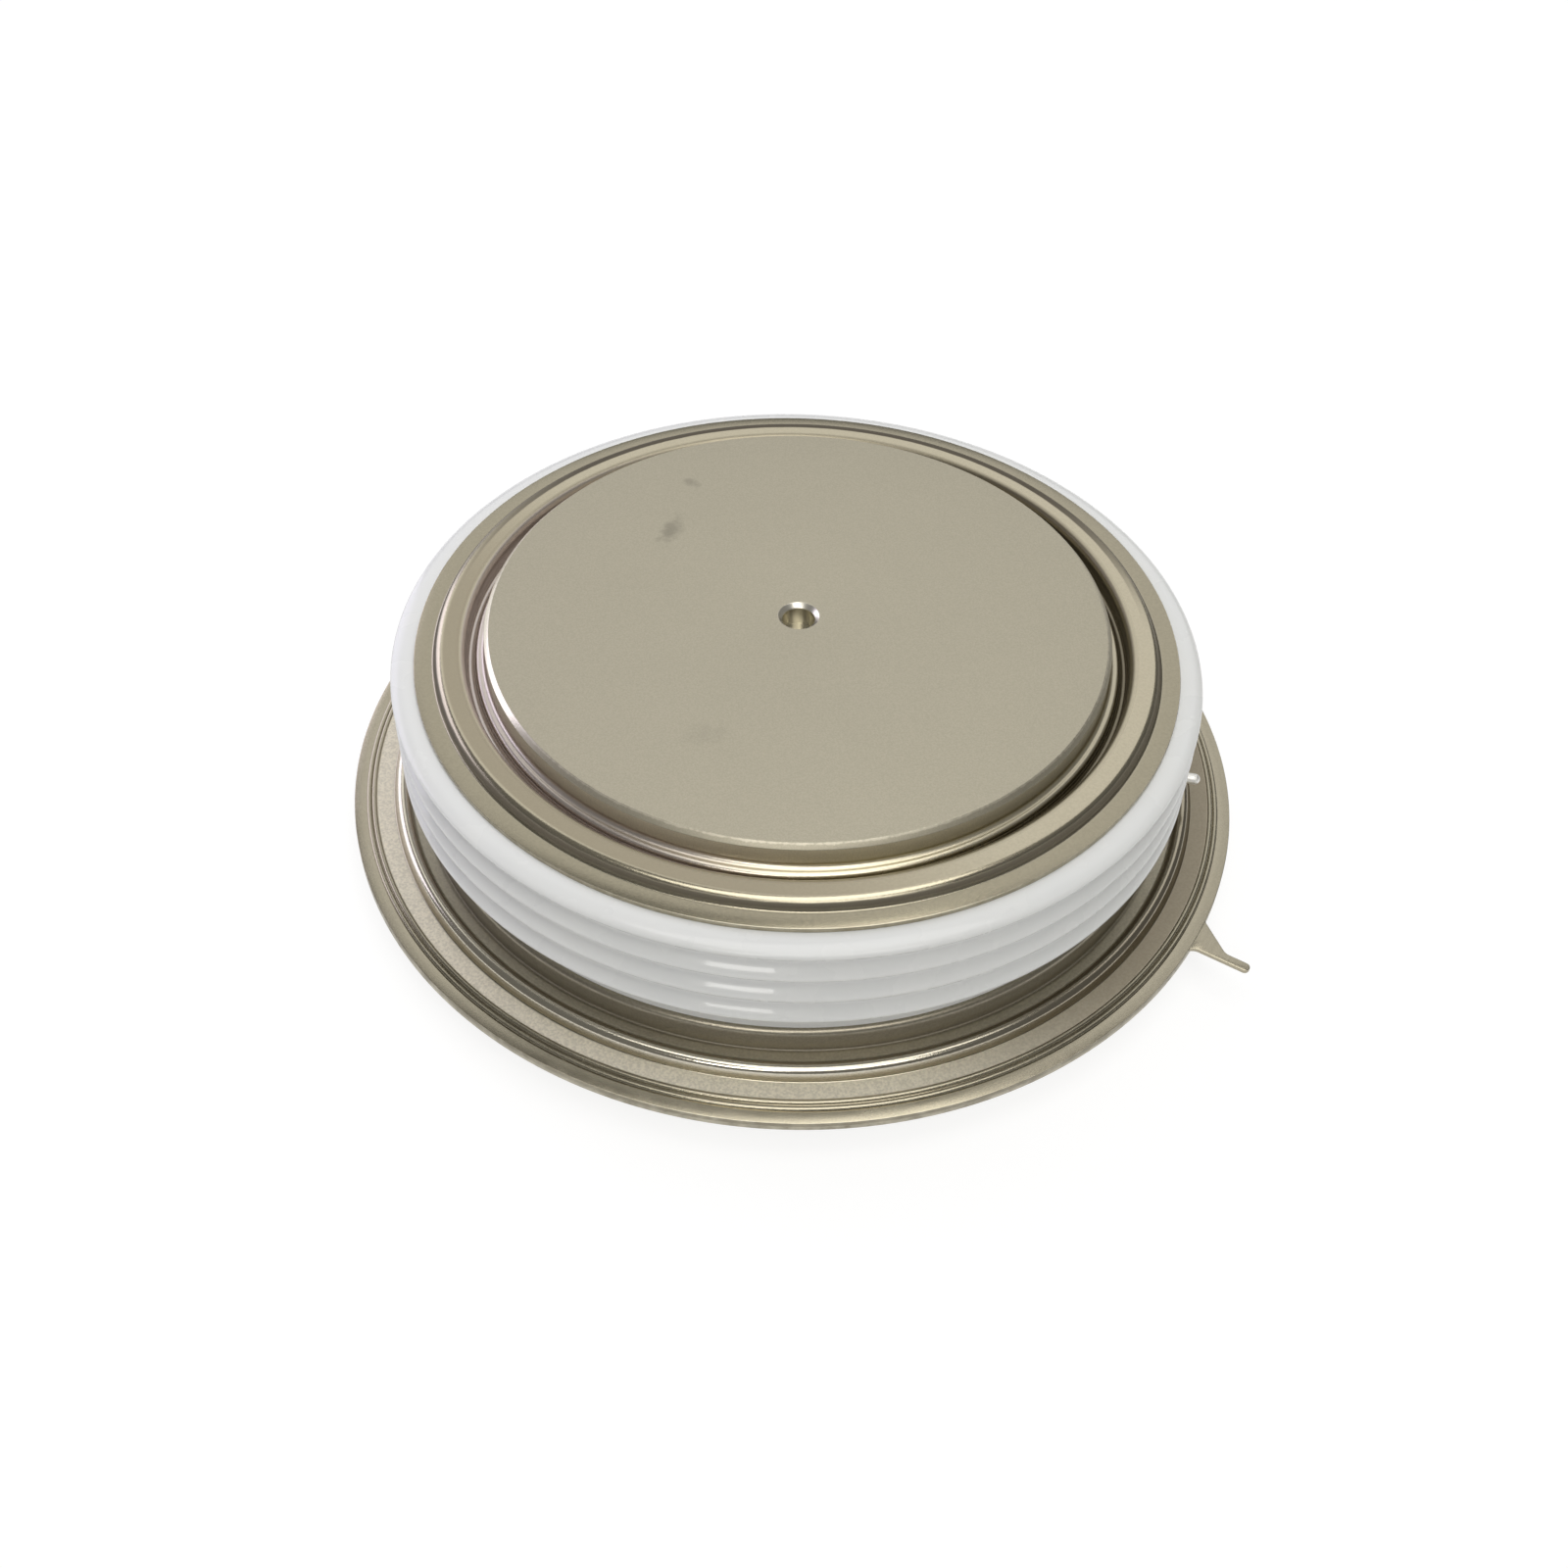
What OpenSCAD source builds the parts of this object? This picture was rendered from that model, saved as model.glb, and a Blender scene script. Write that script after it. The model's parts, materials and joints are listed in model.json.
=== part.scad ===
// Disc thyristor: two copper poles clamp a silicon wafer inside a ribbed ceramic ring that thin
// pressed flanges close at both ends. The origin is the centre of the lower (cathode) contact face,
// +Z points from the cathode to the anode, and every size is in millimetres.

/* [Poles] */
// Diameter of both copper poles
pole_d = 66.4; // [62:0.2:70]
// Edge break round each contact face
pole_chamfer = 0.5; // [0.2:0.1:0.8]
// Height of the anode contact face above the seat ring of its diaphragm
pole_rise = 2.95; // [2:0.05:5]
// Diameter of the centring hole in each contact face
centring_d = 3.5; // [3:0.1:4]
// Depth of the centring holes
centring_depth = 2.5; // [1.8:0.1:3.5]
// Countersink at the mouth of the centring holes
centring_chamfer = 0.45; // [0.2:0.05:0.6]

/* [Sheet metal] */
// Thickness of the flange and diaphragm sheet
sheet = 0.55; // [0.45:0.05:0.65]
// Mid-plane radius of the tight bends
bend_r = 0.45; // [0.4:0.05:0.5]
// Mid-plane radius of the diaphragm folds
fold_r = 0.8; // [0.6:0.05:0.9]

/* [Anode diaphragm] */
// Width of the land that is brazed to the pole
land_w = 1.2; // [1.15:0.05:1.4]
// Height of that land above the seat ring
land_rise = 0.1; // [0:0.05:0.3]
// Step in the pole's wall that the land rests on
land_seat = 0.25; // [0.15:0.05:0.35]
// Inside radius of the sharp bend from the land into the groove
land_inside_r = 0.05; // [0.05:0.05:0.15]
// Radius of the braze fillet between the land and the pole
braze_r = 0.6; // [0.15:0.05:0.6]
// Clear width of the groove between the land and the plateau
groove_w = 0.9; // [0.8:0.05:1.6]
// Flat left between the round corners of the groove's floor
groove_flat = 0.05; // [0.05:0.05:0.2]
// Depth of that groove below the seat ring
groove_drop = 1.1; // [1:0.05:2]
// Width of the raised plateau
plateau_w = 2.6; // [1.8:0.1:4]
// Height of the plateau above the seat ring
plateau_rise = 1.05; // [0.9:0.05:1.6]
// Run of the step from the plateau to the seat ring
step_w = 0.35; // [0.2:0.05:0.8]
// Width of the seat ring brazed to the ceramic
seat_w = 2.2; // [1.8:0.1:4]

/* [Ceramic ring] */
// Radial reach of the rib crests past the seat ring
shoulder_w = 2.55; // [2:0.05:4]
// Height of the rounded shoulder above the top crest
shoulder_h = 0.8; // [0.5:0.05:2]
// Bare land of the end face past the seat ring
shoulder_lip = 0.15; // [0.1:0.05:0.5]
// Number of grooves between the ribs
groove_count = 3; // [2:1:5]
// Distance from rib to rib
rib_pitch = 3.1; // [2.4:0.1:4]
// Depth of the grooves between the ribs
rib_depth = 1; // [0.4:0.05:1.2]
// Height of the rounded underside of the lowest rib
rib_undercut = 1.05; // [0.6:0.05:1.6]
// How far the plain neck lies inside the rib crests
neck_inset = 2.3; // [1.6:0.1:2.8]
// Height of the plain neck
neck_h = 2.95; // [2.4:0.05:6]
// Ceramic wall from the bore to the rib crests
ceramic_wall = 5.6; // [5:0.1:6]

/* [Housing flange] */
// Outer diameter of the welded rim
rim_d = 98.8; // [98:0.2:108]
// Height of the ceramic's lower end above the cathode contact face
seat_z = 8.9; // [8.4:0.1:11]
// Overhang of the flange wall past the ceramic neck
wall_overhang = 0.65; // [0.6:0.05:1]
// Fall from the ceramic's end to the floor inside the bead
floor_drop = 2.75; // [2.2:0.05:3]
// Width of that floor
floor_w = 1.8; // [1.1:0.05:2]
// Height of the bead above the floor
bead_h = 0.55; // [0.4:0.05:0.7]
// Width of the bead's top
bead_w = 0.55; // [0.55:0.05:1.4]
// Fall from the ceramic's end to the flat
flat_drop = 3.55; // [3.3:0.05:3.7]
// Fall from the ceramic's end to the rim
rim_drop = 3.95; // [3.85:0.05:4.2]
// Width of the welded rim outside the weld ridges
rim_w = 1.35; // [1.2:0.05:2]
// Width of each of the two weld ridges
ridge_w = 0.6; // [0.4:0.05:0.7]
// Height of the weld ridges
ridge_h = 0.25; // [0.1:0.05:0.4]

/* [Cathode tab] */
// Direction of the tab round the axis
tab_azimuth = -30.8; // [-60:0.2:-20]
// Reach of the tab past the rim
tab_reach = 6.3; // [5:0.1:9]
// Width of the tab's finger
tab_w = 1.1; // [0.8:0.05:1.6]
// Width of the gusset at the rim, on the side towards the gate
tab_gusset_w = 2.8; // [1.5:0.1:4]
// Reach of that gusset past the rim
tab_gusset_reach = 3.4; // [2.5:0.1:4]
// Radius of the tab's fillets
tab_fillet = 1.2; // [0.6:0.1:1.4]
// How much the tab is coined thinner than the rim on each face
tab_coining = 0.03; // [0.02:0.01:0.1]

/* [Cathode diaphragm] */
// Height of the collar's free edge above the cathode contact face
lid_collar_z = 2.4; // [1.4:0.1:3]
// Width of the fold round the pole
lid_fold_w = 2; // [1.9:0.05:2.6]
// Rise of that fold above the flat sheet
lid_fold_rise = 2; // [1.5:0.1:2.6]

/* [Wafer stack] */
// How far the anode disc lies inside the pole's wall
disc_inset = 2.2; // [1.6:0.1:3]
// Thickness of the anode disc
anode_disc_t = 2.5; // [1.5:0.1:3.5]
// Thickness of the silicon wafer
wafer_t = 1; // [0.6:0.1:1.4]
// Rubber left outside the wafer's edge
seal_w = 1; // [0.6:0.1:1.4]
// Radial reach of the wafer's bevel
bevel_w = 1; // [0.6:0.1:1.4]
// Bare ring between the wafer's bevel and the cathode disc
cathode_disc_inset = 1; // [0.8:0.1:2]
// Thickness of the cathode disc
cathode_disc_t = 2; // [1.5:0.1:3]
// Thickness of the silver foil
foil_t = 0.2; // [0.1:0.05:0.4]
// Gap between the locating ring and the stack
locating_gap = 0.25; // [0.1:0.05:0.5]
// Height of the locating ring
locating_h = 4.2; // [3.4:0.1:5]

/* [Gate] */
// Direction of the gate tube round the axis
gate_azimuth = -8; // [-15:0.5:15]
// Height of the gate tube above the ceramic's lower end
gate_rise = 1.2; // [1:0.1:1.6]
// Outer diameter of the gate tube
tube_d = 1.2; // [1:0.05:1.6]
// Bore of the gate tube
tube_bore = 0.7; // [0.65:0.05:0.8]
// Reach of the tube past the ceramic neck
tube_reach = 3.6; // [2:0.1:6]
// Reach of the tube inside the ceramic bore
tube_tail = 0.7; // [0.4:0.1:1.2]
// Diameter of the gate wire
wire_d = 0.6; // [0.4:0.05:0.6]
// Outer diameter of the wire's sleeve
sleeve_d = 1.8; // [1.4:0.1:2.2]
// Copper left above the sleeve at the pole's inner face
slot_cover = 0.3; // [0.2:0.05:0.8]
// Free room round the inner gate pieces
gate_clear = 0.1; // [0.05:0.05:0.2]
// Diameter of the gate pin's tip
pin_d = 2; // [1.4:0.1:2.4]
// Diameter of the gate pin's head
pin_head_d = 5; // [4.4:0.1:5.6]
// Height of the gate pin's head
pin_head_h = 1.9; // [1.4:0.1:2.4]
// Wall of the insulating cup
cup_wall = 1.1; // [0.8:0.1:1.4]
// Floor of the insulating cup
cup_floor = 1; // [0.8:0.1:1.2]
// Height of the pressed gate spring
spring_h = 2.4; // [2:0.1:2.6]
// Wire of the gate spring
spring_wire = 0.5; // [0.4:0.05:0.6]

/* [Hidden] */
// Pole, diaphragm and ceramic radii, from the axis outwards
pole_r = pole_d / 2;
land_r = pole_r + land_w;
groove_mid = land_r + groove_w + sheet / 2;
plateau_mid = groove_mid + plateau_w;
foot_mid = plateau_mid + step_w;
ring_r = foot_mid + seat_w;
crest_r = ring_r + shoulder_w;
neck_r = crest_r - neck_inset;
bore_r = crest_r - ceramic_wall;
rim_r = rim_d / 2;

// Heights of the ceramic and of the anode side
ceramic_h = neck_h + rib_undercut + groove_count * rib_pitch + shoulder_h;
ceramic_top = seat_z + ceramic_h;
ring_top = ceramic_top + sheet;
land_top = ring_top + land_rise;
height = ring_top + pole_rise;

// Heights of the gate and of the stack
gate_z = seat_z + gate_rise;
cathode_pole_t = gate_z + sleeve_d / 2 + slot_cover;
cathode_disc_z = cathode_pole_t + foil_t;
wafer_z = cathode_disc_z + cathode_disc_t;
anode_disc_z = wafer_z + wafer_t;
stack_top = anode_disc_z + anode_disc_t;

// Radii of the stack
anode_disc_r = pole_r - disc_inset;
wafer_r = anode_disc_r - seal_w;
cathode_disc_r = wafer_r - bevel_w - cathode_disc_inset;
seal_lip = 0.3;
locating_r = anode_disc_r + locating_gap;

// Gate pieces in the lower pole
pin_head_z = gate_z - pin_head_h / 2;
pin_head_top = pin_head_z + pin_head_h;
spring_z = pin_head_z - spring_h;
cup_z = spring_z - cup_floor;
cup_in_r = pin_head_d / 2 + 4 * gate_clear;
cup_r = cup_in_r + cup_wall;
cup_top = cathode_pole_t - 2 * gate_clear;
pocket_r = cup_r + gate_clear;
gate_hole_r = cup_in_r + gate_clear;
slot_w = sleeve_d + 2 * gate_clear;
tube_start = bore_r - tube_tail;
tube_end = neck_r + tube_reach;
sleeve_start = pin_head_d / 2 + gate_clear;
wire_seat = pin_head_d / 4;

// Heights of the pressed sheets, at their upper faces
rim_z = seat_z - rim_drop;
flat_z = seat_z - flat_drop;
floor_z = seat_z - floor_drop;
bead_z = floor_z + bead_h;
ridge_mid = rim_r - rim_w - ridge_w;
lid_mid = rim_z - sheet - sheet / 2;

// Smoothness of round faces, bends and rib profiles
$fn = 96;
bend_steps = 6;
rib_steps = 12;
shoulder_steps = 6;
spring_turns = 3.5;
spring_steps = 20;
spring_sides = 10;
// How far a cut runs past the face that it opens
past = 1;

// Finishes
nickel = [0.67, 0.64, 0.56];
glaze = [0.92, 0.93, 0.92];
molybdenum = [0.55, 0.56, 0.58];
silver = [0.8, 0.8, 0.78];
silicon = [0.25, 0.27, 0.32];
rubber = [0.78, 0.76, 0.7];
white_plastic = [0.93, 0.93, 0.9];

// Plane vectors
function unit(v) = v / norm(v);
function left_of(v) = [-v.y, v.x];
function turned(v, a) = [v.x * cos(a) - v.y * sin(a), v.x * sin(a) + v.y * cos(a)];

// One bend at corner b between a and c: points on an arc of radius r, each with its left-hand normal
function bend(a, b, c, r) =
    let (
        along = unit(b - a),
        onward = unit(c - b),
        way = sign(along.x * onward.y - along.y * onward.x),
        turn = acos(along * onward),
        centre = b - along * r * tan(turn / 2) + left_of(along) * r * way
    )
    [for (i = [0:bend_steps])
        let (normal = turned(left_of(along), way * turn * i / bend_steps))
        [centre - normal * r * way, normal]];

// Points and normals along a bent line; radii[i] is the bend at points[i], and the ends have none
function bent_line(points, radii) =
    let (last = len(points) - 1)
    concat(
        [[points[0], left_of(unit(points[1] - points[0]))]],
        [for (i = [1:last - 1]) each bend(points[i - 1], points[i], points[i + 1], radii[i])],
        [[points[last], left_of(unit(points[last] - points[last - 1]))]]
    );

// Section of a pressed sheet whose mid-plane follows the bent line
module sheet_section(points, radii) {
    line = bent_line(points, radii);
    half = sheet / 2;
    polygon(concat(
        [for (i = [0:len(line) - 1]) line[i][0] + line[i][1] * half],
        [for (i = [len(line) - 1:-1:0]) line[i][0] - line[i][1] * half]
    ));
}

// Blind hole with a countersunk mouth at z = 0, going down
module centring_hole() {
    rotate_extrude() polygon([
        [0, past],
        [centring_d / 2 + centring_chamfer, past],
        [centring_d / 2 + centring_chamfer, 0],
        [centring_d / 2, -centring_chamfer],
        [centring_d / 2, -centring_depth],
        [0, -centring_depth]
    ]);
}

// Copper cylinder from z = 0 up to h, with the edge break round its upper face
module pole_blank(h) {
    rotate_extrude() polygon([
        [0, 0],
        [pole_r, 0],
        [pole_r, h - pole_chamfer],
        [pole_r - pole_chamfer, h],
        [0, h]
    ]);
}

// Flat ring between two radii
module ring(inner, outer, z, h) {
    translate([0, 0, z]) difference() {
        cylinder(r = outer, h = h);
        translate([0, 0, -past]) cylinder(r = inner, h = h + 2 * past);
    }
}

// Places its children on the gate line: x runs outwards along it, at the gate's height
module on_gate_line() {
    rotate([0, 0, gate_azimuth]) translate([0, 0, gate_z]) children();
}

// Round bar along the gate line
module gate_bar(d, from, to) {
    on_gate_line() translate([from, 0, 0]) rotate([0, 90, 0]) cylinder(d = d, h = to - from);
}

// Slot along the gate line, open at the top
module gate_slot(from, to) {
    on_gate_line() translate([from, -slot_w / 2, -slot_w / 2]) cube([to - from, slot_w, height]);
}

module anode_pole() {
    color(nickel) difference() {
        translate([0, 0, stack_top]) union() {
            pole_blank(height - stack_top);
            cylinder(r = pole_r + land_seat, h = land_top - sheet - stack_top);
        }
        translate([0, 0, height]) centring_hole();
    }
}

// Braze metal in the corner between the pole and the land
module braze_fillet() {
    rotate_extrude() polygon(concat(
        [[pole_r, land_top - sheet / 2], [pole_r + braze_r, land_top - sheet / 2]],
        [for (i = [0:bend_steps])
            let (a = 90 * i / bend_steps)
            [pole_r + braze_r * (1 - sin(a)), land_top + braze_r * (1 - cos(a))]]
    ));
}

module anode_flange() {
    half = sheet / 2;
    land_z = land_top - half;
    groove_z = ring_top - groove_drop - half;
    plateau_z = ring_top + plateau_rise - half;
    ring_z = ring_top - half;
    groove_bend = min(fold_r, (groove_w + sheet - groove_flat) / 2);
    color(nickel) {
        rotate_extrude() sheet_section(
            [
                [pole_r, land_z],
                [land_r - half, land_z],
                [land_r - half, groove_z],
                [groove_mid, groove_z],
                [groove_mid, plateau_z],
                [plateau_mid, plateau_z],
                [foot_mid, ring_z],
                [ring_r, ring_z]
            ],
            [0, half + land_inside_r, groove_bend, groove_bend, bend_r, fold_r, bend_r, 0]
        );
        braze_fillet();
    }
}

// Section of the ceramic: neck, rounded underside, ribs as a cosine wave, rounded shoulder
module ceramic_section() {
    first_crest = seat_z + neck_h + rib_undercut;
    top_crest = first_crest + groove_count * rib_pitch;
    lip_r = ring_r + shoulder_lip;
    polygon(concat(
        [[bore_r, seat_z], [neck_r, seat_z]],
        [for (i = [0:shoulder_steps])
            let (a = 90 * i / shoulder_steps)
            [neck_r + neck_inset * sin(a), first_crest - rib_undercut * cos(a)]],
        [for (i = [1:groove_count * rib_steps])
            let (a = 360 * i / rib_steps)
            [crest_r - rib_depth * (1 - cos(a)) / 2, first_crest + rib_pitch * i / rib_steps]],
        [for (i = [1:shoulder_steps])
            let (a = 90 * i / shoulder_steps)
            [lip_r + (crest_r - lip_r) * cos(a), top_crest + shoulder_h * sin(a)]],
        [[bore_r, ceramic_top]]
    ));
}

module ceramic_ring() {
    color(glaze) difference() {
        rotate_extrude() ceramic_section();
        gate_bar(tube_d, tube_start, tube_end);
    }
}

// Outline of the tab in its own plane: x runs outwards from the axis, y across
module tab_outline() {
    half = tab_w / 2;
    inside = rim_r - rim_w / 2;
    tip = rim_r + tab_reach;
    gusset_tip = rim_r + tab_gusset_reach;
    line = bent_line(
        [
            [inside, half + tab_gusset_w + tab_fillet],
            [rim_r, half + tab_gusset_w],
            [gusset_tip, half],
            [tip, half],
            [tip, -half],
            [rim_r, -half],
            [inside, -half - 2 * tab_fillet]
        ],
        [0, tab_fillet, tab_fillet, half * 0.95, half * 0.95, tab_fillet, 0]
    );
    polygon([for (p = line) p[0]]);
}

// Two round weld ridges side by side over the step from the flat to the rim
module weld_ridges() {
    base = (flat_z - sheet + rim_z) / 2;
    steps = 2 * shoulder_steps;
    rotate_extrude() polygon(concat(
        [[ridge_mid + ridge_w, base], [ridge_mid - ridge_w, base]],
        [for (i = [0:steps])
            let (f = i / steps)
            [ridge_mid + ridge_w * (2 * f - 1), flat_z + (rim_z - flat_z) * f + ridge_h * abs(sin(360 * f))]]
    ));
}

module housing_flange() {
    half = sheet / 2;
    wall_mid = neck_r + wall_overhang - half;
    bead_start = wall_mid + floor_w;
    bead_top = bead_start + bead_h;
    bead_end = bead_top + bead_w;
    flat_start = bead_end + (bead_z - flat_z) / 3;
    color(nickel) {
        rotate_extrude() sheet_section(
            [
                [bore_r, seat_z - half],
                [wall_mid, seat_z - half],
                [wall_mid, floor_z - half],
                [bead_start, floor_z - half],
                [bead_top, bead_z - half],
                [bead_end, bead_z - half],
                [flat_start, flat_z - half],
                [ridge_mid - ridge_w / 2, flat_z - half],
                [ridge_mid + ridge_w / 2, rim_z - half],
                [rim_r, rim_z - half]
            ],
            [0, bend_r, bend_r, bend_r, bend_r, bend_r, bend_r, bend_r, bend_r, 0]
        );
        weld_ridges();
        rotate([0, 0, tab_azimuth]) translate([0, 0, rim_z - sheet + tab_coining])
            linear_extrude(sheet - 2 * tab_coining) tab_outline();
    }
}

module cathode_flange() {
    collar_mid = pole_r + sheet / 2;
    fold_mid = collar_mid + lid_fold_w;
    fold_z = lid_mid + lid_fold_rise;
    color(nickel) rotate_extrude() sheet_section(
        [
            [collar_mid, lid_collar_z],
            [collar_mid, fold_z],
            [fold_mid, fold_z],
            [fold_mid, lid_mid],
            [rim_r, lid_mid]
        ],
        [0, fold_r, fold_r, bend_r, 0]
    );
}

module cathode_pole() {
    color(nickel) difference() {
        translate([0, 0, cathode_pole_t]) mirror([0, 0, 1]) pole_blank(cathode_pole_t);
        mirror([0, 0, 1]) centring_hole();
        translate([0, 0, cup_z]) cylinder(r = pocket_r, h = height);
        gate_slot(0, pole_r + past);
    }
}

module anode_disc() {
    color(molybdenum) translate([0, 0, anode_disc_z]) cylinder(r = anode_disc_r, h = anode_disc_t);
}

module silicon_wafer() {
    color(silicon) translate([0, 0, wafer_z])
        cylinder(r1 = wafer_r - bevel_w, r2 = wafer_r, h = wafer_t);
}

module wafer_edge_seal() {
    color(rubber) translate([0, 0, wafer_z]) rotate_extrude() polygon([
        [wafer_r - bevel_w - cathode_disc_inset / 2, -seal_lip],
        [anode_disc_r, -seal_lip],
        [anode_disc_r, wafer_t],
        [wafer_r, wafer_t],
        [wafer_r - bevel_w, 0],
        [wafer_r - bevel_w - cathode_disc_inset / 2, 0]
    ]);
}

module cathode_disc() {
    color(molybdenum) ring(gate_hole_r, cathode_disc_r, cathode_disc_z, cathode_disc_t);
}

module cathode_foil() {
    color(silver) ring(gate_hole_r, cathode_disc_r, cathode_pole_t, foil_t);
}

module locating_ring() {
    color(white_plastic) ring(locating_r, bore_r - locating_gap, cathode_pole_t, locating_h);
}

module gate_tube() {
    color(nickel) difference() {
        gate_bar(tube_d, tube_start, tube_end);
        gate_bar(tube_bore, tube_start - past, tube_end + past);
    }
}

// The wire ends in a weld bead that closes the tube
module gate_lead() {
    color(silver) {
        gate_bar(wire_d, wire_seat, tube_end);
        on_gate_line() translate([tube_end, 0, 0]) intersection() {
            sphere(d = tube_d);
            translate([0, -tube_d, -tube_d]) cube(2 * tube_d);
        }
    }
}

module gate_sleeve() {
    color(white_plastic) difference() {
        gate_bar(sleeve_d, sleeve_start, tube_start);
        gate_bar(wire_d + gate_clear, sleeve_start - past, tube_start + past);
    }
}

module gate_pin() {
    color(molybdenum) difference() {
        union() {
            translate([0, 0, pin_head_z]) cylinder(d = pin_head_d, h = pin_head_h);
            translate([0, 0, pin_head_z]) cylinder(d = pin_d, h = wafer_z - pin_head_z);
        }
        gate_bar(wire_d, wire_seat, pin_head_d);
    }
}

module gate_bush() {
    color(white_plastic) ring(
        pin_d / 2 + gate_clear,
        cup_in_r - gate_clear,
        pin_head_top,
        wafer_z - pin_head_top - 2 * gate_clear
    );
}

// Height of the coil's centre line at a share f of its turns: flat at both ends, rising between
function coil_rise(f) =
    let (flat = 0.75 / spring_turns, s = min(1, max(0, (f - flat) / (1 - 2 * flat))))
    s * s * (3 - 2 * s);

module gate_spring() {
    r = pin_head_d / 2 - spring_wire;
    rise = spring_h - spring_wire;
    steps = floor(spring_turns * spring_steps);
    points = [for (i = [0:steps], j = [0:spring_sides - 1])
        let (
            turn = 360 * i / spring_steps,
            a = 360 * j / spring_sides,
            out = r + cos(a) * spring_wire / 2,
            up = rise * coil_rise(i / steps) + sin(a) * spring_wire / 2
        )
        [out * cos(turn), out * sin(turn), spring_z + spring_wire / 2 + up]];
    walls = [for (i = [0:steps - 1], j = [0:spring_sides - 1])
        let (k = (j + 1) % spring_sides, a = i * spring_sides, b = a + spring_sides)
        [a + j, a + k, b + k, b + j]];
    first = [for (j = [spring_sides - 1:-1:0]) j];
    last = [for (j = [0:spring_sides - 1]) steps * spring_sides + j];
    color(silver) polyhedron(points, concat(walls, [first, last]));
}

module gate_cup() {
    color(white_plastic) difference() {
        translate([0, 0, cup_z]) cylinder(r = cup_r, h = cup_top - cup_z);
        translate([0, 0, spring_z]) cylinder(r = cup_in_r, h = height);
        gate_slot(0, cup_r + past);
    }
}

anode_pole();
anode_flange();
ceramic_ring();
housing_flange();
cathode_flange();
cathode_pole();
anode_disc();
silicon_wafer();
wafer_edge_seal();
cathode_disc();
cathode_foil();
locating_ring();
gate_tube();
gate_lead();
gate_sleeve();
gate_pin();
gate_bush();
gate_spring();
gate_cup();
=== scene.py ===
# %% [markdown]
# A disc thyristor: a white ribbed ceramic ring, closed above and below by pressed nickel-plated
# sheet and two thick copper poles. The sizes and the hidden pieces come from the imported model.
# Here the visible pieces are modelled again with smooth faces and soft edges, and every piece gets
# its finish. All lengths in the lists below are in millimetres, and MM turns them into metres.

# %% Load the frame
import json
import math

import bmesh
import bpy
from mathutils import Matrix, Vector


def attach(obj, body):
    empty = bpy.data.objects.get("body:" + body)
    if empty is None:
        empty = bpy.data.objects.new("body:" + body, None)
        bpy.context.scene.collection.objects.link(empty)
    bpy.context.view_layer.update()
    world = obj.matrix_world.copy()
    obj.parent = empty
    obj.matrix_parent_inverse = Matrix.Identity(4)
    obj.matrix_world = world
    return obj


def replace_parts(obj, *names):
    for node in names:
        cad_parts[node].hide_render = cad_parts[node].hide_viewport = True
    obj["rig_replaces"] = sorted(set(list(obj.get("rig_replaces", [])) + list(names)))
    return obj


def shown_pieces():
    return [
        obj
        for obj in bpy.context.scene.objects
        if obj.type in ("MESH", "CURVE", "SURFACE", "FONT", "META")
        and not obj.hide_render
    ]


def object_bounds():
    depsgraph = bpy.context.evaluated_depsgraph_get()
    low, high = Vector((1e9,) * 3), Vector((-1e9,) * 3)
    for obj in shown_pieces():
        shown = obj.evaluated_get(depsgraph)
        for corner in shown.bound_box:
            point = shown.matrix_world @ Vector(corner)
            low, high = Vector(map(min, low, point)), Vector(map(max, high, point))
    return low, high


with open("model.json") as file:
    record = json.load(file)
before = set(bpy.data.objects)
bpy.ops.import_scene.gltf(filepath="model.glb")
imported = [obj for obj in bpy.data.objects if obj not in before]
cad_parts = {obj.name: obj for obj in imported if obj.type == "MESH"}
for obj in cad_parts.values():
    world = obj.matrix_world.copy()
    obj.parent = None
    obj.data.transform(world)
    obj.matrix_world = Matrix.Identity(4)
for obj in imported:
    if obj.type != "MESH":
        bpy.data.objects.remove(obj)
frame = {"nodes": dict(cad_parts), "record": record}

MM = 0.001
CAD_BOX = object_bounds()
print("nodes:", sorted(frame["nodes"]))

# %% [markdown]
# The camera comes first, because it decides what has to look right. It was found from the circles
# of the rings: a circle seen at an angle gives the tilt, and two circles at different heights give
# the distance. A camera could also be turned by hand until it looks right, but a fitted one lets
# every edge fall on its place.

# %% Camera
PICTURE_SIDE = 1600
FOCAL_PX = 1876.8
TILT = 0.79585
ROLL = -0.03217
RANGE = 0.197165
RING_PLANE = 0.02357
RING_CENTRE_PX = (814.27, 649.40)
SENSOR = 36.0

forward = Vector((0, math.cos(TILT), -math.sin(TILT)))
level_up = Vector((0, math.sin(TILT), math.cos(TILT)))
level_right = Vector((1, 0, 0))
right = level_right * math.cos(ROLL) - level_up * math.sin(ROLL)
up = level_right * math.sin(ROLL) + level_up * math.cos(ROLL)
px = RANGE / FOCAL_PX
off_right = (RING_CENTRE_PX[0] - PICTURE_SIDE / 2) * px
off_up = -(RING_CENTRE_PX[1] - PICTURE_SIDE / 2) * px
place = Vector((0, 0, RING_PLANE)) - right * off_right - up * off_up - forward * RANGE

camera = bpy.data.objects.new("camera", bpy.data.cameras.new("camera"))
bpy.context.scene.collection.objects.link(camera)
camera.matrix_world = Matrix.Translation(place) @ Matrix((right, up, -forward)).transposed().to_4x4()
camera.data.sensor_width = SENSOR
camera.data.lens = FOCAL_PX / PICTURE_SIDE * SENSOR
camera.data.clip_start = 0.01
bpy.context.scene.camera = camera
print("camera at", [round(c, 4) for c in place], "lens", round(camera.data.lens, 2))

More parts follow.
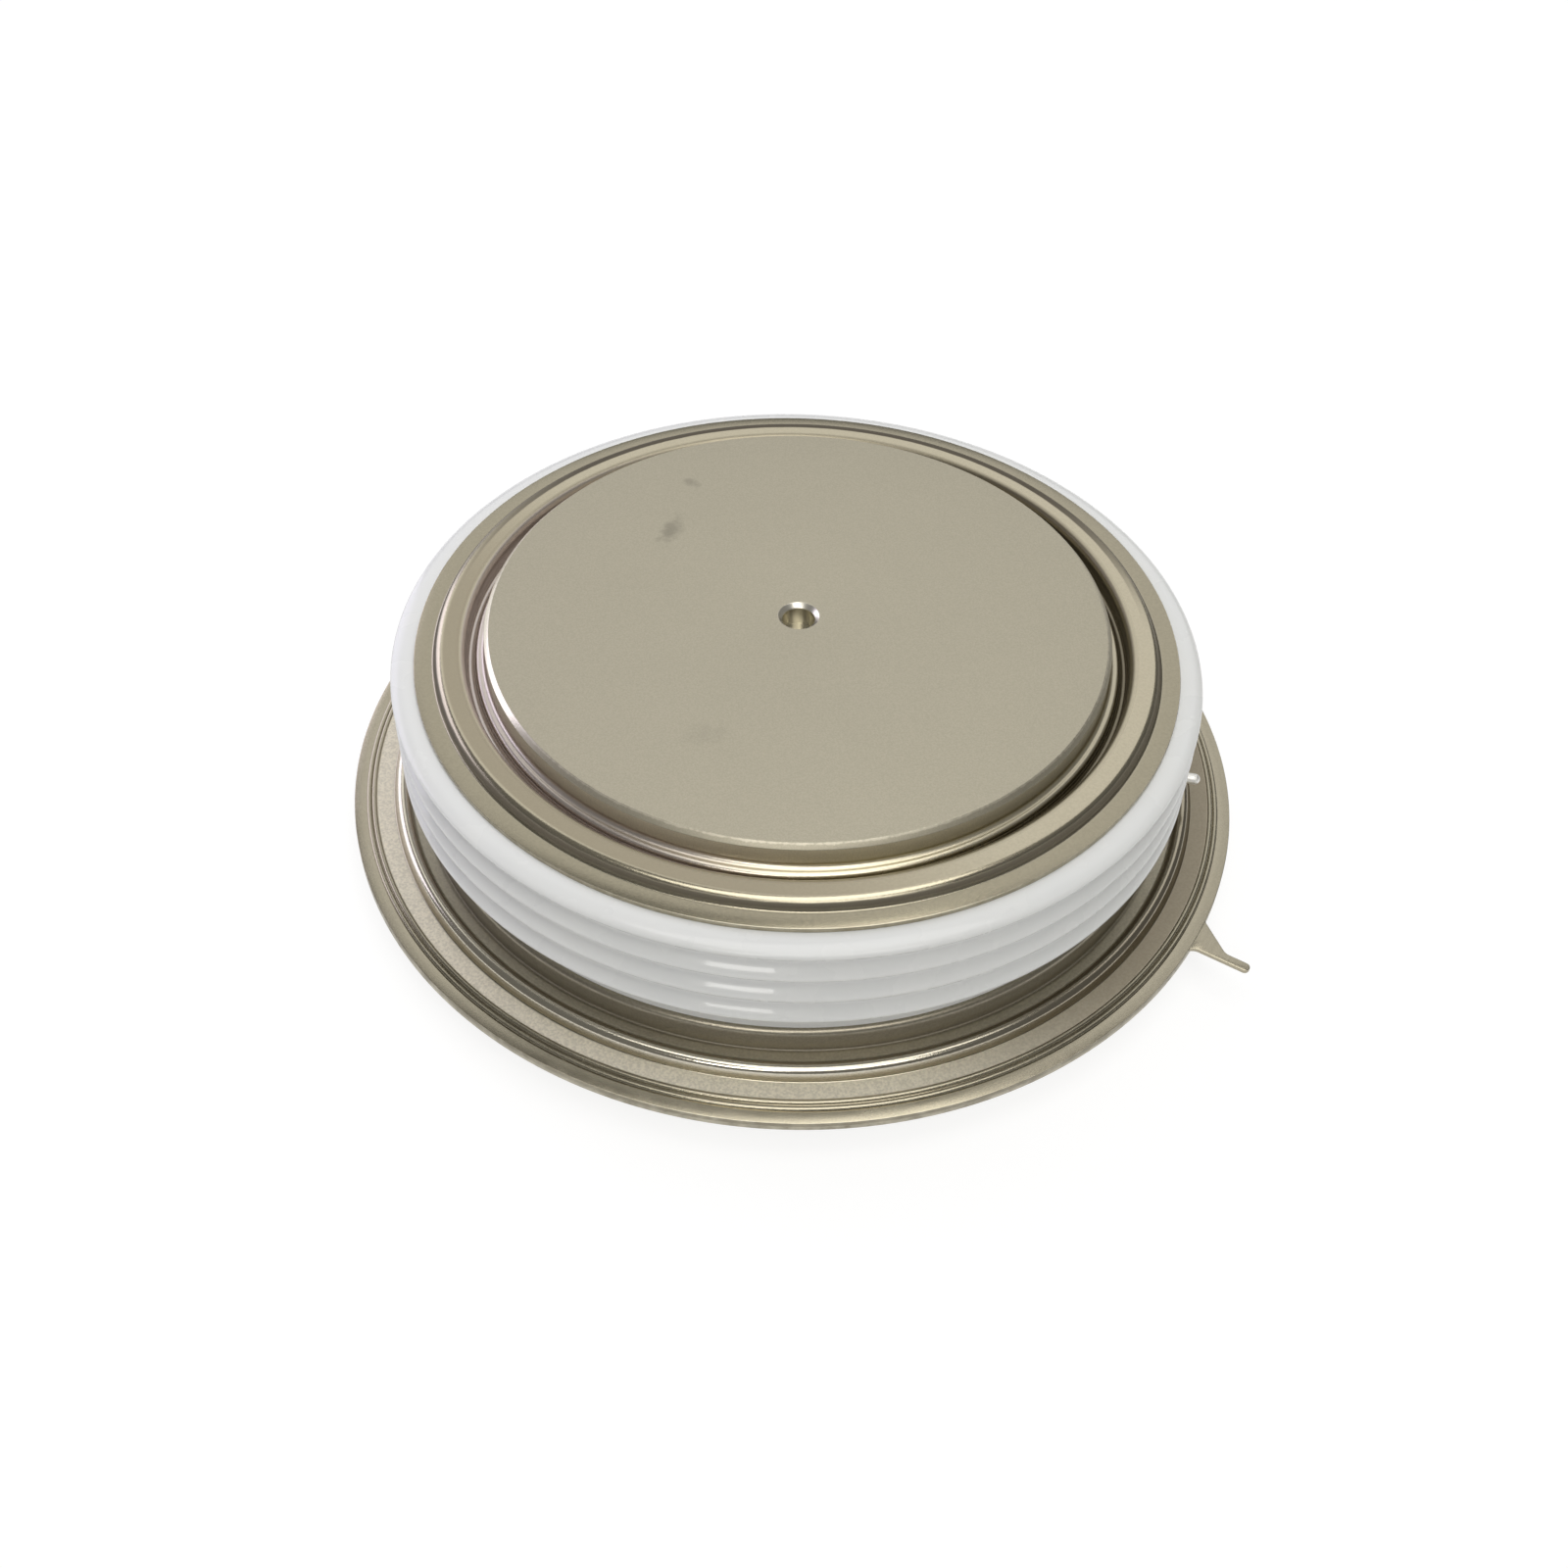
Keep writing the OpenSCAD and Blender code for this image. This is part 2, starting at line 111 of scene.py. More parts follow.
# %% [markdown]
# Nearly everything here is turned or pressed round one axis, so one helper does most of the work.
# It draws half of a section as a line of a few points, rounds the corners with a vertex bevel, and
# spins the line round the axis. A primitive cylinder with loops cut into it would also do, but a
# section is how such parts are drawn, and each bend radius stays a number in a list.

# %% Helper: a line with rounded corners
TURNS = 256
BEND_SEGMENTS = 6
SAME_PLACE = 1e-7
SHARP_CORNER = math.radians(70)


def draw_line(bm, points, radii, closed=False):
    """Draws a line through (radius, height) points in mm and rounds each corner by its radius."""
    verts = [bm.verts.new((x * MM, 0, z * MM)) for x, z in points]
    pairs = list(zip(verts, verts[1:]))
    if closed:
        pairs.append((verts[-1], verts[0]))
    for a, b in pairs:
        bm.edges.new((a, b))
    cut_back = {}
    for vert, radius in zip(verts, radii):
        if radius:
            one, two = [e.other_vert(vert).co - vert.co for e in vert.link_edges]
            cut_back[vert] = radius * MM / math.tan(one.angle(two) / 2)
    for vert, offset in cut_back.items():
        bmesh.ops.bevel(
            bm, geom=[vert], offset=offset, offset_type="OFFSET", segments=BEND_SEGMENTS,
            profile=0.5, affect="VERTICES", material=-1,
        )


def spin_line(bm, turns=TURNS):
    """Spins the drawn line once round the Z axis and closes the seam and the poles."""
    bmesh.ops.spin(
        bm, geom=bm.verts[:] + bm.edges[:], cent=(0, 0, 0), axis=(0, 0, 1),
        angle=math.tau, steps=turns, use_merge=True,
    )
    bmesh.ops.remove_doubles(bm, verts=bm.verts, dist=SAME_PLACE)
    bmesh.ops.recalc_face_normals(bm, faces=bm.faces)


def make_piece(bm, name, slot, *nodes, sharp=40):
    """Turns the bmesh into a piece that rides on the body and stands for these nodes."""
    mesh = bpy.data.meshes.new(name)
    bm.to_mesh(mesh)
    volume = bm.calc_volume(signed=True) / MM**3
    bm.free()
    for face in mesh.polygons:
        face.use_smooth = True
    mesh.set_sharp_from_angle(angle=math.radians(sharp))
    piece = bpy.data.objects.new(name, mesh)
    bpy.context.scene.collection.objects.link(piece)
    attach(piece, "root")
    if nodes:
        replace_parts(piece, *nodes)
    print(f"{name}: {len(mesh.polygons)} faces, {volume:.1f} cubic mm")
    return piece


print("helpers ready,", TURNS, "steps to a turn")

# %% [markdown]
# The poles are turned from copper and nickel plated. Each is a plain cylinder with a broken edge
# round its contact face and a small blind hole in the middle, where a pin of the heat sink centres
# it. The section goes from the axis out and back to the axis, so one spin gives a closed solid.

# %% Anode pole
POLE_R = 33.2
EDGE_BREAK = 0.5
HOLE_R = 1.75
HOLE_DEPTH = 2.5
HOLE_BREAK = 0.45
HEIGHT = 26.5
ANODE_POLE_FOOT = 17.0
LAND_SEAT_R = 33.45
LAND_SEAT_Z = 23.1
CORNER = 0.12
HOLE_CORNER = 0.05
MOUTH_CORNER = 0.08
POLE_ROUNDS = [0, 0, HOLE_CORNER, MOUTH_CORNER, CORNER, CORNER, 0, 0, 0, 0]


def contact_end(face, into):
    """Section points from the centring hole's floor to the pole's wall; into is the way inwards."""
    return [
        (0, face + into * HOLE_DEPTH),
        (HOLE_R, face + into * HOLE_DEPTH),
        (HOLE_R, face + into * HOLE_BREAK),
        (HOLE_R + HOLE_BREAK, face),
        (POLE_R - EDGE_BREAK, face),
        (POLE_R, face + into * EDGE_BREAK),
    ]


bm = bmesh.new()
draw_line(
    bm,
    contact_end(HEIGHT, -1) + [
        (POLE_R, LAND_SEAT_Z), (LAND_SEAT_R, LAND_SEAT_Z),
        (LAND_SEAT_R, ANODE_POLE_FOOT), (0, ANODE_POLE_FOOT),
    ],
    POLE_ROUNDS,
)
spin_line(bm)
anode_pole = make_piece(bm, "anode_contact_pole", "pole_nickel", "anode_pole")

# %% [markdown]
# The lower pole is the same with a pocket in its inner face for the gate spring, and a slot that
# lets the gate wire out. The pocket is part of the section. The slot isn't round, so a box is cut
# out with a Boolean modifier, and the result is taken as the new mesh.

# %% Cathode pole
CATHODE_POLE_TOP = 11.3
POCKET_R = 4.1
POCKET_FLOOR = 5.75
GATE_AZIMUTH = math.radians(-8)
GATE_Z = 10.1
SLOT_W = 2.0
SLOT_PAST_WALL = 2.0

bm = bmesh.new()
draw_line(
    bm,
    contact_end(0, 1) + [
        (POLE_R, CATHODE_POLE_TOP), (POCKET_R, CATHODE_POLE_TOP),
        (POCKET_R, POCKET_FLOOR), (0, POCKET_FLOOR),
    ],
    POLE_ROUNDS,
)
spin_line(bm)
cathode_pole = make_piece(bm, "cathode_contact_pole", "pole_nickel", "cathode_pole")

bm = bmesh.new()
bmesh.ops.create_cube(bm, size=1)
slot_box = Vector((POLE_R + SLOT_PAST_WALL, SLOT_W, CATHODE_POLE_TOP))
bmesh.ops.scale(bm, verts=bm.verts, vec=slot_box * MM)
slot_middle = Vector((slot_box.x / 2, 0, GATE_Z + slot_box.z / 2 - SLOT_W / 2))
bmesh.ops.translate(bm, verts=bm.verts, vec=slot_middle * MM)
bmesh.ops.rotate(bm, verts=bm.verts, cent=(0, 0, 0), matrix=Matrix.Rotation(GATE_AZIMUTH, 3, "Z"))
cutter_mesh = bpy.data.meshes.new("slot_cutter")
bm.to_mesh(cutter_mesh)
bm.free()
cutter = bpy.data.objects.new("slot_cutter", cutter_mesh)
bpy.context.scene.collection.objects.link(cutter)
cut = cathode_pole.modifiers.new("gate slot", "BOOLEAN")
cut.operation = "DIFFERENCE"
cut.object = cutter
cut.solver = "EXACT"
depsgraph = bpy.context.evaluated_depsgraph_get()
slotted = bpy.data.meshes.new_from_object(cathode_pole.evaluated_get(depsgraph))
cathode_pole.modifiers.clear()
cathode_pole.data = slotted
bpy.data.objects.remove(cutter)
print("slotted pole:", len(slotted.polygons), "faces")

# %% [markdown]
# The flanges are thin sheet, pressed into folds so that they give a little when the stack is
# clamped. Only one face of the sheet is drawn. Solidify then adds the thickness behind it, which
# keeps the sheet even through every bend, where two hand-drawn faces would drift apart. Solidify
# works against the face normals, so they are turned to the drawn side first.

# %% Anode diaphragm
SHEET = 0.55
INNER_BEND = 0.175
OUTER_BEND = 0.725
SHOULDER_BEND = 1.075
LAND_BEND = 0.6
GROOVE_BEND = 0.42
SHEET_EDGE = 0.07


def press_sheet(points, radii):
    """A sheet whose drawn face looks up and follows the line; its thickness goes behind it."""
    bm = bmesh.new()
    draw_line(bm, points, radii)
    spin_line(bm)
    lift = sum(f.normal.z * f.calc_area() for f in bm.faces)
    if lift <= 0:
        bmesh.ops.reverse_faces(bm, faces=bm.faces)
    bmesh.ops.solidify(bm, geom=bm.faces[:], thickness=SHEET * MM)
    sheared = [e for e in bm.edges if e.calc_face_angle(0) > SHARP_CORNER]
    bmesh.ops.bevel(
        bm, geom=sheared, offset=SHEET_EDGE * MM, offset_type="OFFSET", segments=2,
        profile=0.5, affect="EDGES", material=-1,
    )
    return bm


bm = press_sheet(
    [
        (33.2, 23.65), (34.4, 23.65), (34.4, 22.45), (35.3, 22.45), (35.3, 24.6),
        (38.373, 24.6), (38.723, 23.55), (40.725, 23.55),
    ],
    [0, LAND_BEND, GROOVE_BEND, GROOVE_BEND, OUTER_BEND, SHOULDER_BEND, INNER_BEND, 0],
)
anode_diaphragm = make_piece(bm, "anode_diaphragm", "sheet_nickel", "anode_flange")

# %% [markdown]
# Where the sheet meets the pole, braze metal has run into the corner. Liquid metal leaves a hollow
# fillet there, so the section is a corner whose outer line is rounded inwards by the same vertex bevel.

# %% Braze fillet
BRAZE_R = 0.6
BRAZE_ROUND = 0.594
BRAZE_Z = 23.65
BRAZE_SINK = 0.05

bm = bmesh.new()
draw_line(
    bm,
    [
        (POLE_R - BRAZE_SINK, BRAZE_Z + BRAZE_R), (POLE_R, BRAZE_Z + BRAZE_R), (POLE_R, BRAZE_Z),
        (POLE_R + BRAZE_R, BRAZE_Z), (POLE_R + BRAZE_R, BRAZE_Z - BRAZE_SINK),
        (POLE_R - BRAZE_SINK, BRAZE_Z - BRAZE_SINK),
    ],
    [0, 0, BRAZE_ROUND, 0, 0, 0],
    closed=True,
)
spin_line(bm)
braze_fillet = make_piece(bm, "braze_fillet", "sheet_nickel", "anode_flange")

# %% [markdown]
# The housing flange carries the ceramic. From the ceramic it falls down a wall, runs over a round
# bead, then flat to the rim. It is one more pressed sheet with a longer line.

# %% Housing flange
bm = press_sheet(
    [
        (37.675, 8.9), (41.625, 8.9), (41.625, 6.15), (43.036, 6.15), (43.586, 6.7),
        (44.448, 6.7), (44.898, 5.35), (47.233, 5.35), (47.833, 4.95), (49.4, 4.95),
    ],
    [0, OUTER_BEND, INNER_BEND, INNER_BEND, OUTER_BEND, OUTER_BEND, INNER_BEND, OUTER_BEND, INNER_BEND, 0],
)
housing_flange = make_piece(bm, "housing_skirt", "sheet_nickel", "housing_flange")

# %% [markdown]
# The lid below closes the housing. Its rim lies under the rim of the housing flange, where the two
# are welded together, and a fold joins it to the lower pole. The drawn face is the inner one.

# %% Cathode diaphragm
bm = press_sheet(
    [(33.2, 2.4), (33.2, 6.4), (35.75, 6.4), (35.75, 4.4), (49.4, 4.4)],
    [0, SHOULDER_BEND, SHOULDER_BEND, INNER_BEND, 0],
)
cathode_diaphragm = make_piece(bm, "cathode_diaphragm", "sheet_nickel", "cathode_flange")

# %% [markdown]
# The weld between the two rims leaves two low round ridges side by side. Each is its own small
# section, a tall rectangle with its upper corners rounded away, sunk into the sheet as weld metal is.

# %% Weld ridges
RIDGE_TOPS = {47.15: 5.5, 47.75: 5.3}
RIDGE_HALF = 0.3
RIDGE_FOOT = 4.8
RIDGE_ROUND = 0.28

bm = bmesh.new()
for middle, height in RIDGE_TOPS.items():
    draw_line(
        bm,
        [
            (middle - RIDGE_HALF, RIDGE_FOOT), (middle - RIDGE_HALF, height),
            (middle + RIDGE_HALF, height), (middle + RIDGE_HALF, RIDGE_FOOT),
        ],
        [0, RIDGE_ROUND, RIDGE_ROUND, 0],
        closed=True,
    )
spin_line(bm)
weld_ridges = make_piece(bm, "weld_ridges", "sheet_nickel", "housing_flange")

# %% [markdown]
# The auxiliary cathode terminal is a narrow finger that was stamped out with the rim. Its outline
# is drawn flat, its corners are rounded, and the filled outline is extruded to the thickness.

# %% Cathode tab
TAB_AZIMUTH = math.radians(-30.8)
TAB_FOOT = 4.43
TAB_THICKNESS = 0.49
TAB_EDGE = 0.08
TAB_OUTLINE = [
    (48.65, 4.55), (49.4, 3.35), (52.8, 0.55), (55.7, 0.55), (55.7, -0.55), (49.4, -0.55), (48.65, -2.95),
]
TAB_ROUNDS = [0, 1.2, 1.2, 0.52, 0.52, 1.2, 0]

bm = bmesh.new()
draw_line(bm, TAB_OUTLINE, TAB_ROUNDS, closed=True)
bmesh.ops.rotate(bm, verts=bm.verts, cent=(0, 0, 0), matrix=Matrix.Rotation(-math.pi / 2, 3, "X"))
bmesh.ops.contextual_create(bm, geom=bm.edges[:])
grown = bmesh.ops.extrude_face_region(bm, geom=bm.faces[:])
top = [g for g in grown["geom"] if isinstance(g, bmesh.types.BMVert)]
bmesh.ops.translate(bm, verts=top, vec=(0, 0, TAB_THICKNESS * MM))
bmesh.ops.recalc_face_normals(bm, faces=bm.faces)
edges = [e for e in bm.edges if e.calc_face_angle(0) > SHARP_CORNER]
bmesh.ops.bevel(
    bm, geom=edges, offset=TAB_EDGE * MM, offset_type="OFFSET", segments=2,
    profile=0.5, affect="EDGES", material=-1,
)
bmesh.ops.translate(bm, verts=bm.verts, vec=(0, 0, TAB_FOOT * MM))
bmesh.ops.rotate(bm, verts=bm.verts, cent=(0, 0, 0), matrix=Matrix.Rotation(TAB_AZIMUTH, 3, "Z"))
cathode_tab = make_piece(bm, "cathode_tab", "sheet_nickel", "housing_flange")

# %% [markdown]
# The ceramic ring insulates one pole from the other, and its ribs lengthen the way a current would
# have to creep along the surface. The outer line is straight at first. It is subdivided, and each
# new point is drawn in by a cosine of its height, which gives even, soft ribs. The rounded shoulder
# and underside are quarter ellipses, from a bevel that uses up the whole of both edges.

# %% Ceramic ring
BORE_R = 37.675
NECK_R = 40.975
CREST_R = 43.275
SHOULDER_R = 40.875
CERAMIC_FOOT = 8.9
NECK_TOP = 11.85
FIRST_CREST = 12.9
TOP_CREST = 22.2
CERAMIC_TOP = 23.0
RIB_PITCH = 3.1
RIB_DEPTH = 1.0
RIB_STEPS = 72
ROUND_SEGMENTS = 12

bm = bmesh.new()
corners = [
    (BORE_R, CERAMIC_FOOT), (NECK_R, CERAMIC_FOOT), (NECK_R, NECK_TOP), (CREST_R, NECK_TOP),
    (CREST_R, FIRST_CREST), (CREST_R, TOP_CREST), (CREST_R, CERAMIC_TOP), (SHOULDER_R, CERAMIC_TOP),
    (BORE_R, CERAMIC_TOP),
]
draw_line(bm, corners, [0] * len(corners), closed=True)
bm.verts.ensure_lookup_table()
bmesh.ops.bevel(
    bm, geom=[bm.verts[3], bm.verts[6]], offset=100, offset_type="PERCENT", segments=ROUND_SEGMENTS,
    profile=0.5, affect="VERTICES", material=-1,
)
bmesh.ops.remove_doubles(bm, verts=bm.verts, dist=SAME_PLACE)
outer = [e for e in bm.edges if min(v.co.x for v in e.verts) > (CREST_R - 0.01) * MM]
rib_line = max(outer, key=lambda e: e.calc_length())
cuts = bmesh.ops.subdivide_edges(bm, edges=[rib_line], cuts=RIB_STEPS - 1)["geom_inner"]
for vert in cuts:
    if isinstance(vert, bmesh.types.BMVert):
        turn = (vert.co.z / MM - FIRST_CREST) / RIB_PITCH * math.tau
        vert.co.x -= RIB_DEPTH * (1 - math.cos(turn)) / 2 * MM
spin_line(bm)
ceramic = make_piece(bm, "ribbed_ceramic", "glaze", "ceramic_ring")

# %% [markdown]
# The gate tube passes through the ceramic neck and is closed by a bead of weld at its tip. Both are
# small sections, spun upright and then laid along the gate's direction.

# %% Gate tube and its lead
TUBE_START = 36.975
TUBE_END = 44.575
TUBE_R = 0.6
TUBE_BORE_R = 0.35
WIRE_R = 0.3
WIRE_START = 1.25
TUBE_EDGE = 0.04
BEAD_ROUND = 0.588
SMALL_TURNS = 40
lay_down = Matrix.Rotation(GATE_AZIMUTH, 3, "Z") @ Matrix.Rotation(math.pi / 2, 3, "Y")


def along_gate(bm):
    """Lays an upright piece along the gate line."""
    bmesh.ops.rotate(bm, verts=bm.verts, cent=(0, 0, 0), matrix=lay_down)
    bmesh.ops.translate(bm, verts=bm.verts, vec=(0, 0, GATE_Z * MM))
    return bm


bm = bmesh.new()
draw_line(
    bm,
    [(TUBE_BORE_R, TUBE_START), (TUBE_R, TUBE_START), (TUBE_R, TUBE_END), (TUBE_BORE_R, TUBE_END)],
    [0, TUBE_EDGE, TUBE_EDGE, 0],
    closed=True,
)
spin_line(bm, SMALL_TURNS)
gate_tube = make_piece(along_gate(bm), "gate_tube_body", "sheet_nickel", "gate_tube")

bm = bmesh.new()
draw_line(
    bm,
    [
        (0, WIRE_START), (WIRE_R, WIRE_START), (WIRE_R, TUBE_END), (TUBE_R, TUBE_END),
        (TUBE_R, TUBE_END + TUBE_R), (0, TUBE_END + TUBE_R),
    ],
    [0, 0, 0, 0, BEAD_ROUND, 0],
)
spin_line(bm, SMALL_TURNS)
gate_lead = make_piece(along_gate(bm), "gate_wire_and_bead", "silver", "gate_lead")

# %% [markdown]
# Materials are built from nodes. A few short helpers keep the node code readable: one adds a node
# and feeds it, one does sums, one mixes colours. Colours are given as 0 to 255, as a colour picker
# shows them, and turned into the linear values that Blender mixes.

# %% Helpers for nodes


def linear(*levels):
    """A 0 to 255 screen colour as linear RGBA."""
    parts = [c / 255 for c in levels]
    return [c / 12.92 if c <= 0.04045 else ((c + 0.055) / 1.055) ** 2.4 for c in parts] + [1.0]


def put(tree, kind, feeds=None, **settings):
    """Adds a node, sets it up, and feeds its inputs with sockets or constants."""
    node = tree.nodes.new(kind)
    for key, value in settings.items():
        setattr(node, key, value)
    for label, value in (feeds or {}).items():
        if isinstance(value, bpy.types.NodeSocket):
            tree.links.new(value, node.inputs[label])
        else:
            node.inputs[label].default_value = value
    return node


def sums(tree, operation, a, b=0.0):
    """One step of arithmetic."""
    return put(tree, "ShaderNodeMath", {0: a, 1: b}, operation=operation).outputs[0]


def ease(tree, value, low, high, out_low=0.0, out_high=1.0):
    """A smooth step from out_low to out_high while value goes from low to high."""
    feeds = {"Value": value, "From Min": low, "From Max": high, "To Min": out_low, "To Max": out_high}
    return put(tree, "ShaderNodeMapRange", feeds, interpolation_type="SMOOTHSTEP").outputs["Result"]


def mixed(tree, share, a, b, mode="MIX"):
    """A colour between a and b."""
    feeds = {0: share, 6: a, 7: b}
    return put(tree, "ShaderNodeMix", feeds, data_type="RGBA", blend_type=mode).outputs[2]


def effect(name, inputs, outputs):
    """An empty shader group with named sockets, and its two ends."""
    group = bpy.data.node_groups.new(name, "ShaderNodeTree")
    kinds = {"value": "NodeSocketFloat", "vector": "NodeSocketVector"}
    for label, kind, value in inputs:
        socket = group.interface.new_socket(label, in_out="INPUT", socket_type=kinds[kind])
        socket.default_value = value
    for label in outputs:
        group.interface.new_socket(label, in_out="OUTPUT", socket_type="NodeSocketFloat")
    return group, put(group, "NodeGroupInput"), put(group, "NodeGroupOutput")


def use(tree, group, feeds):
    """Places a shader group in a material."""
    node = put(tree, "ShaderNodeGroup", node_tree=group)
    for label, value in feeds.items():
        if isinstance(value, bpy.types.NodeSocket):
            tree.links.new(value, node.inputs[label])
        else:
            node.inputs[label].default_value = value
    return node.outputs


print("node helpers ready")

# %% [markdown]
# Four effects come back in several finishes, so each is a node group. The first gives the radius
# and the height of a point in millimetres, because on a turned part most marks follow circles. The
# second is a ragged ring, for worn edges and for dirt at the foot of a step. The third is a fine
# grain with slow clouds over it. The fourth is the faint rings that a lathe or a press tool leaves.

# %% Shared effects
place_on_lathe, ends_in, ends_out = effect(
    "place_on_lathe", [("Position", "vector", (0, 0, 0))], ["Radius", "Height"]
)
axes = put(place_on_lathe, "ShaderNodeSeparateXYZ", {0: ends_in.outputs["Position"]})
square_x = sums(place_on_lathe, "MULTIPLY", axes.outputs[0], axes.outputs[0])
square_y = sums(place_on_lathe, "MULTIPLY", axes.outputs[1], axes.outputs[1])
radius = sums(place_on_lathe, "SQRT", sums(place_on_lathe, "ADD", square_x, square_y))
place_on_lathe.links.new(radius, ends_out.inputs["Radius"])
place_on_lathe.links.new(axes.outputs[2], ends_out.inputs["Height"])

ragged_ring, ends_in, ends_out = effect(
    "ragged_ring",
    [
        ("Position", "vector", (0, 0, 0)), ("Radius", "value", 1), ("Reach", "value", 0.2),
        ("Fade", "value", 0.1), ("Ragged", "value", 0.1), ("Patch size", "value", 1),
    ],
    ["Mask"],
)
given = ends_in.outputs
patch = sums(ragged_ring, "DIVIDE", 1.0, given["Patch size"])
noise = put(ragged_ring, "ShaderNodeTexNoise", {"Vector": given["Position"], "Scale": patch, "Detail": 3.0})
shift = sums(ragged_ring, "MULTIPLY", sums(ragged_ring, "SUBTRACT", noise.outputs[0], 0.5), given["Ragged"])
here = use(ragged_ring, place_on_lathe, {"Position": given["Position"]})["Radius"]
gap = sums(ragged_ring, "ABSOLUTE", sums(ragged_ring, "SUBTRACT", here, given["Radius"]))
inside = sums(ragged_ring, "SUBTRACT", sums(ragged_ring, "ADD", given["Reach"], shift), gap)
mask = ease(ragged_ring, sums(ragged_ring, "DIVIDE", inside, given["Fade"]), -0.5, 0.5)
ragged_ring.links.new(mask, ends_out.inputs["Mask"])

plate_grain, ends_in, ends_out = effect(
    "plate_grain",
    [("Position", "vector", (0, 0, 0)), ("Grain size", "value", 0.15), ("Cloud size", "value", 9)],
    ["Grain", "Cloud"],
)
given = ends_in.outputs
for size, output, detail in (("Grain size", "Grain", 2.0), ("Cloud size", "Cloud", 4.0)):
    scale = sums(plate_grain, "DIVIDE", 1.0, given[size])
    feeds = {"Vector": given["Position"], "Scale": scale, "Detail": detail}
    noise = put(plate_grain, "ShaderNodeTexNoise", feeds)
    plate_grain.links.new(noise.outputs[0], ends_out.inputs[output])

turned_rings, ends_in, ends_out = effect(
    "turned_rings", [("Position", "vector", (0, 0, 0)), ("Pitch", "value", 0.2)], ["Rings"]
)
given = ends_in.outputs
here = use(turned_rings, place_on_lathe, {"Position": given["Position"]})
along = sums(turned_rings, "ADD", here["Radius"], here["Height"])
feeds = {"W": sums(turned_rings, "DIVIDE", along, given["Pitch"]), "Scale": 1.0, "Detail": 3.0}
fine = put(turned_rings, "ShaderNodeTexNoise", feeds, noise_dimensions="1D")
turned_rings.links.new(fine.outputs[0], ends_out.inputs["Rings"])
print("effects:", [g.name for g in bpy.data.node_groups])

# %% [markdown]
# Every finish starts the same way: one Principled shader, and the piece's own coordinates in
# millimetres. Object coordinates are used, so the marks stay on the piece from every side. Three
# masks follow: a band between two radii, one side of a ring, and a smear.

# %% Helpers: an empty finish, a band and a mark


def start_finish(name, **constants):
    """A material with one Principled shader; returns it, its tree, the shader and the position."""
    material = bpy.data.materials.new(name)
    material.use_nodes = True
    tree = material.node_tree
    shader = tree.nodes["Principled BSDF"]
    for label, value in constants.items():
        shader.inputs[label.replace("_", " ")].default_value = value
    coords = put(tree, "ShaderNodeTexCoord").outputs["Object"]
    in_mm = put(tree, "ShaderNodeVectorMath", {0: coords, "Scale": 1 / MM}, operation="SCALE").outputs[0]
    return material, tree, shader, in_mm


def roughen(tree, shader, height, strength, depth):
    """Feeds a height in mm steps to the shader's normal."""
    feeds = {"Height": height, "Strength": strength, "Distance": depth * MM}
    tree.links.new(put(tree, "ShaderNodeBump", feeds).outputs[0], shader.inputs["Normal"])


def ring_band(tree, spot, inner, outer, fade=0.1):
    """One between two radii in mm, zero elsewhere."""
    radius = use(tree, place_on_lathe, {"Position": spot})["Radius"]
    past_inner = ease(tree, radius, inner - fade, inner + fade)
    return sums(tree, "MULTIPLY", past_inner, ease(tree, radius, outer - fade, outer + fade, 1.0, 0.0))


def to_one_side(tree, spot, side, low=0.05, high=0.75):
    """One on the side of the axis that the direction points to, fading to zero round the ring."""
    flat = put(tree, "ShaderNodeVectorMath", {0: spot, 1: (1, 1, 0)}, operation="MULTIPLY").outputs[0]
    flat = put(tree, "ShaderNodeVectorMath", {0: flat}, operation="NORMALIZE").outputs[0]
    feeds = {0: flat, 1: Vector(side).normalized()}
    share = put(tree, "ShaderNodeVectorMath", feeds, operation="DOT_PRODUCT").outputs["Value"]
    return ease(tree, share, low, high)


def smear(tree, spot, centre, reach, turn):
    """A soft ragged mark at a place, with half widths in mm, turned about the axis."""
    away = put(tree, "ShaderNodeVectorMath", {0: spot, 1: centre}, operation="SUBTRACT").outputs[0]
    away = put(tree, "ShaderNodeVectorRotate", {"Vector": away, "Angle": -turn}).outputs[0]
    away = put(tree, "ShaderNodeVectorMath", {0: away, 1: reach}, operation="DIVIDE").outputs[0]
    length = put(tree, "ShaderNodeVectorMath", {0: away}, operation="LENGTH").outputs["Value"]
    noise = put(tree, "ShaderNodeTexNoise", {"Vector": spot, "Scale": 0.9, "Detail": 3.0}).outputs[0]
    ragged = sums(tree, "ADD", length, sums(tree, "MULTIPLY", sums(tree, "SUBTRACT", noise, 0.5), 1.8))
    return ease(tree, ragged, 0.2, 1.3, 1.0, 0.0)


print("finish helpers ready")

# %% [markdown]
# The poles have a matte plate the colour of dry sand. It is even, with a very fine grain and faint
# clouds. The edge break is rubbed bright in ragged patches, and on the left it is lightened as a
# painted highlight and made glossier. Three dark smudges lie on the face.

# %% Finish: pole nickel
FACE_LIGHT = linear(185, 179, 161)
FACE_DARK = linear(177, 171, 153)
# the tone of rubbed edges, and also of the painted highlight on the left of the poles' edge break
RUBBED_AND_HIGHLIGHT_TONE = linear(220, 214, 197)
SMUDGE = linear(120, 116, 104)
WALL_TONE = linear(214, 207, 186)
HOLE_TONE = linear(234, 230, 218)
BORE_TONE = linear(200, 195, 179)
SMUDGES = [
    ((-14.45, 13.9, 26.5), (1.1, 2.6, 1.0), -0.3, 0.46),
    ((-12.8, 22.9, 26.5), (1.3, 0.7, 1.0), -0.6, 0.34),
    ((-8.9, -18.6, 26.5), (2.4, 1.6, 1.0), 0.3, 0.12),
]

